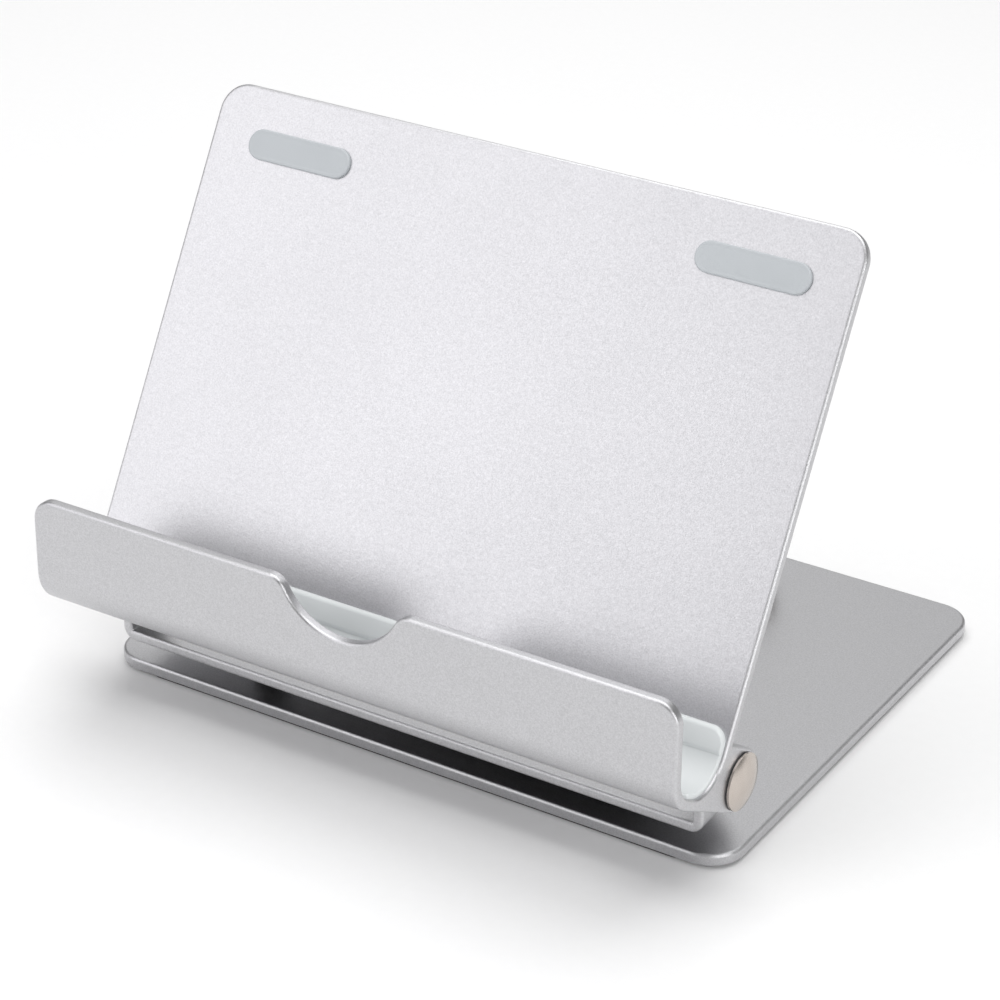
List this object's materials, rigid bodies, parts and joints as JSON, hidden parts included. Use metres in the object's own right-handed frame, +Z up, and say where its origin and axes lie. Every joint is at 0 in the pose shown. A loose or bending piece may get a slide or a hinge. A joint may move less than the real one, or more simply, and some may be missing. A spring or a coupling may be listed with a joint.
{
  "type": "tablet stand",
  "caption": "Folding desk stand: a flat base, a lifting arm and a tilting cradle whose padded channel and lip hold a tablet.",
  "frame": {"origin": "on the table, under the middle of the whole stand at rest", "axes": "+Z up, +Y towards the rear of the stand, +X to the right as the user sees it"},
  "size_m": [0.211, 0.1876, 0.1606],
  "materials": {
    "bead_blasted_aluminium": "bead-blasted and clear anodised",
    "machined_aluminium": "machined and clear anodised",
    "grey_silicone": "smooth light grey silicone",
    "black_rubber": "matt rubber",
    "black_nylon": "matt nylon",
    "nickel_plate": "warm satin nickel plate",
    "plated_steel": "zinc plate"
  },
  "bodies": {
    "base": {"base_lug_screws": "plated_steel", "base_plate": "bead_blasted_aluminium", "front_foot_strip": "black_rubber", "left_base_lug": "machined_aluminium", "lift_disc_spring": "plated_steel", "lift_friction_washer_left": "black_nylon", "lift_friction_washer_right": "black_nylon", "lift_hinge_bolt": "nickel_plate", "lift_hinge_nut": "plated_steel", "lift_plain_washer": "plated_steel", "rear_foot_strip": "black_rubber", "right_base_lug": "machined_aluminium"},
    "arm": {"arm_plate": "bead_blasted_aluminium", "arm_knuckle": "machined_aluminium", "arm_knuckle_screws": "plated_steel", "left_arm_bumper": "black_rubber", "right_arm_bumper": "black_rubber"},
    "cradle": {"cradle": "bead_blasted_aluminium", "channel_liner": "grey_silicone", "left_upper_pad": "grey_silicone", "right_upper_pad": "grey_silicone", "tilt_disc_spring_left": "plated_steel", "tilt_disc_spring_right": "plated_steel", "tilt_friction_washer_left": "black_nylon", "tilt_friction_washer_right": "black_nylon", "tilt_hinge_bolt_left": "nickel_plate", "tilt_hinge_bolt_right": "nickel_plate", "tilt_hinge_nut_left": "plated_steel", "tilt_hinge_nut_right": "plated_steel", "tilt_outer_washer_left": "black_nylon", "tilt_outer_washer_right": "black_nylon", "tilt_plain_washer_left": "plated_steel", "tilt_plain_washer_right": "plated_steel"}
  },
  "joints": [
    {"name": "arm_lift", "type": "hinge", "parent": "base", "child": "arm", "pos_m": [0, 0.07377, 0.0133], "axis": [-1, 0, 0], "range_deg": [0, 75]},
    {"name": "cradle_tilt", "type": "hinge", "parent": "arm", "child": "cradle", "pos_m": [0, -0.05823, 0.0275], "axis": [1, 0, 0], "range_deg": [-60, 60]}
  ]
}
